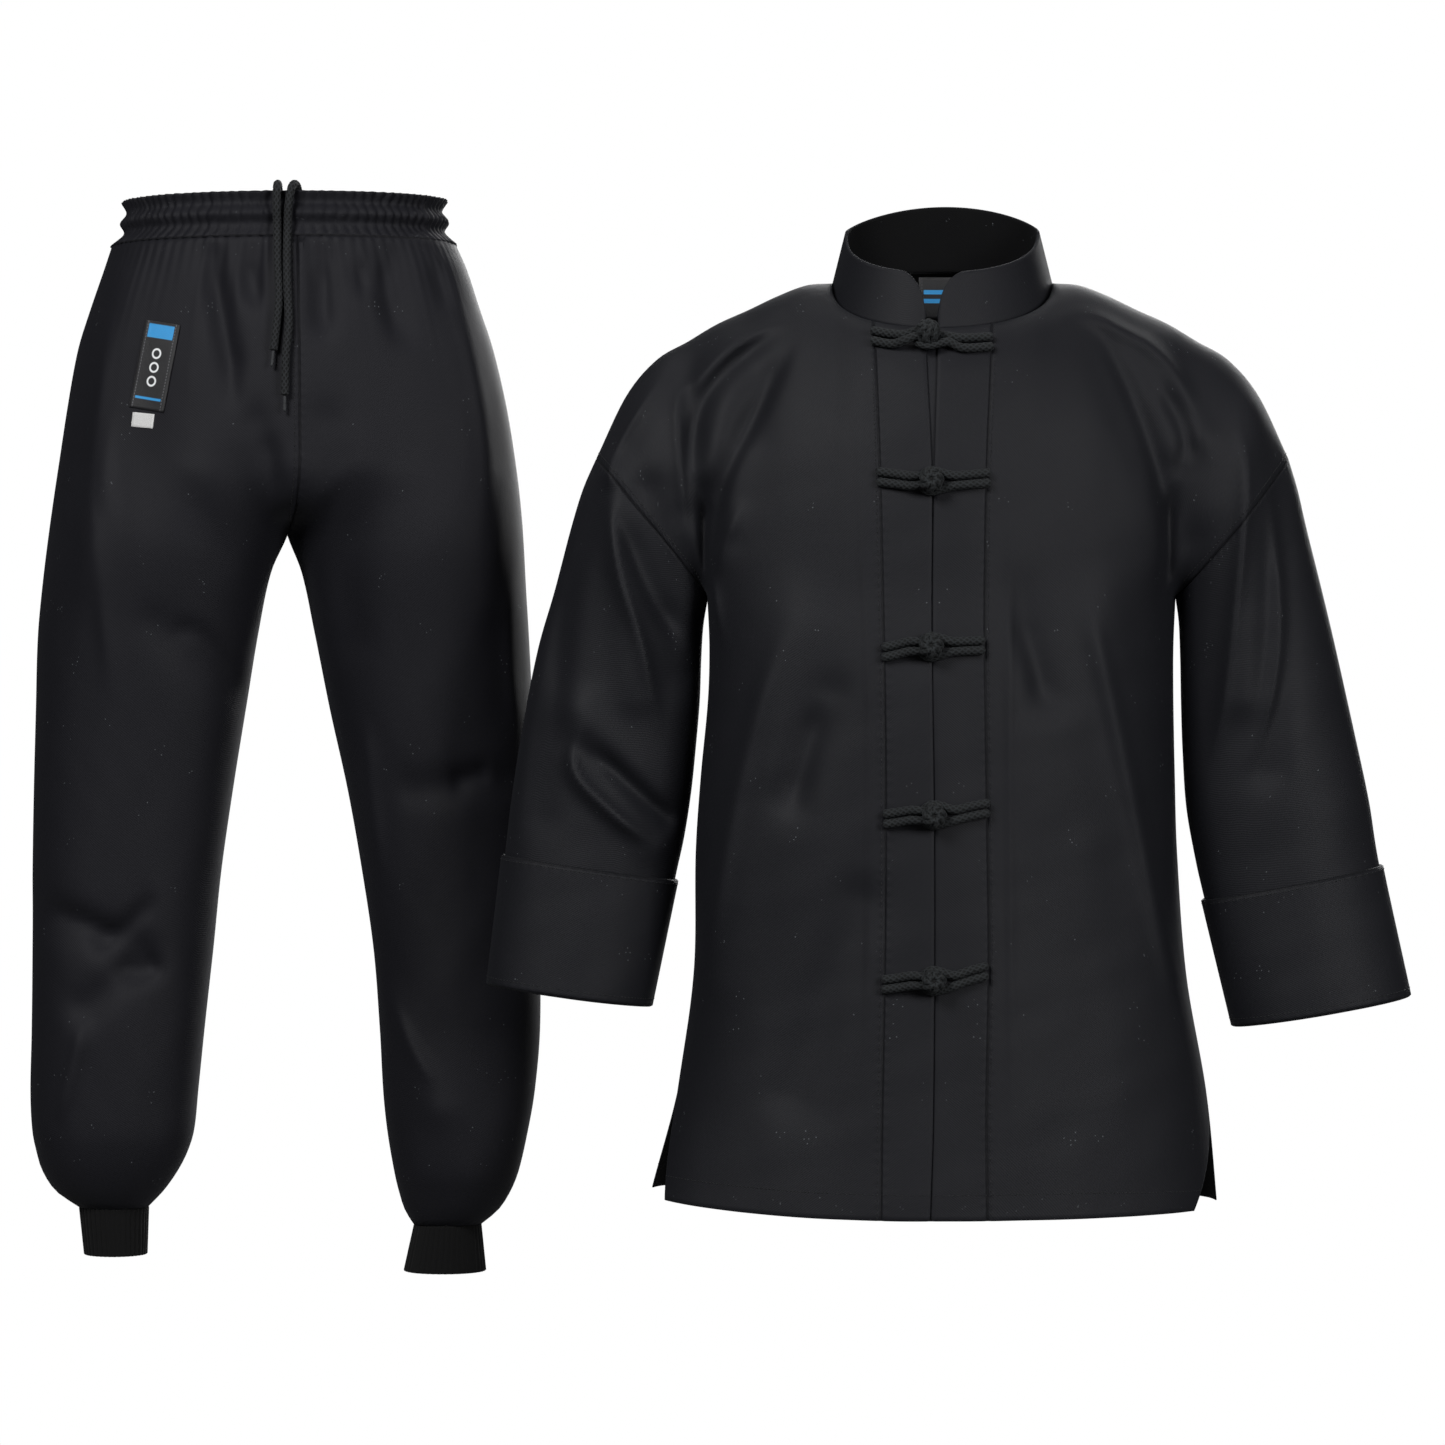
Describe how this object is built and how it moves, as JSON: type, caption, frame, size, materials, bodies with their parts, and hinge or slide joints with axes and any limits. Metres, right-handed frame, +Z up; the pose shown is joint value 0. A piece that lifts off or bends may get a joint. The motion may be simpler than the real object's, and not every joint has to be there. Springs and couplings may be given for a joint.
{
  "type": "tai chi uniform",
  "caption": "Black jacket with stand collar, knotted frog fasteners and wide cuffs, beside trousers with a gathered drawcord waist and ribbed ankles; both filled out and hollow.",
  "frame": {"origin": "middle of the jacket's neck at shoulder level, where a wearer holds the jacket up", "axes": "+Z up, -Y out of the fronts, +X towards the wearer's left; the trousers stand at -X and a little behind the jacket"},
  "size_m": [0.9876, 0.4064, 0.787],
  "materials": {
    "jacket_cloth": "black cotton twill with a soft sheen",
    "trouser_cloth": "black cotton twill with a soft sheen",
    "frog_cord": "braided black cord",
    "drawcord": "braided black cord",
    "rib_knit": "black rib knit",
    "woven_label": "black woven label with blue bars",
    "size_tab": "bare white tape",
    "cord_tip": "black wrapped tip"
  },
  "bodies": {
    "root": {"jacket_front_right": "jacket_cloth", "jacket_front_left": "jacket_cloth", "jacket_back": "jacket_cloth", "front_band_right": "jacket_cloth", "front_band_left": "jacket_cloth", "front_underlap": "jacket_cloth", "collar": "jacket_cloth", "sleeve_right": "jacket_cloth", "sleeve_left": "jacket_cloth", "sleeve_cuff_right": "jacket_cloth", "sleeve_cuff_left": "jacket_cloth", "frog_1_knot": "frog_cord", "frog_1_loop": "frog_cord", "frog_2_knot": "frog_cord", "frog_2_loop": "frog_cord", "frog_3_knot": "frog_cord", "frog_3_loop": "frog_cord", "frog_4_knot": "frog_cord", "frog_4_loop": "frog_cord", "frog_5_knot": "frog_cord", "frog_5_loop": "frog_cord", "neck_label": "woven_label", "trouser_front_right": "trouser_cloth", "trouser_front_left": "trouser_cloth", "trouser_back_right": "trouser_cloth", "trouser_back_left": "trouser_cloth", "waistband": "trouser_cloth", "ankle_rib_right": "rib_knit", "ankle_rib_left": "rib_knit", "trouser_label": "woven_label", "size_tab": "size_tab", "drawcord_right": "drawcord", "drawcord_left": "drawcord", "aglet_right": "cord_tip", "aglet_left": "cord_tip"}
  },
  "joints": []
}
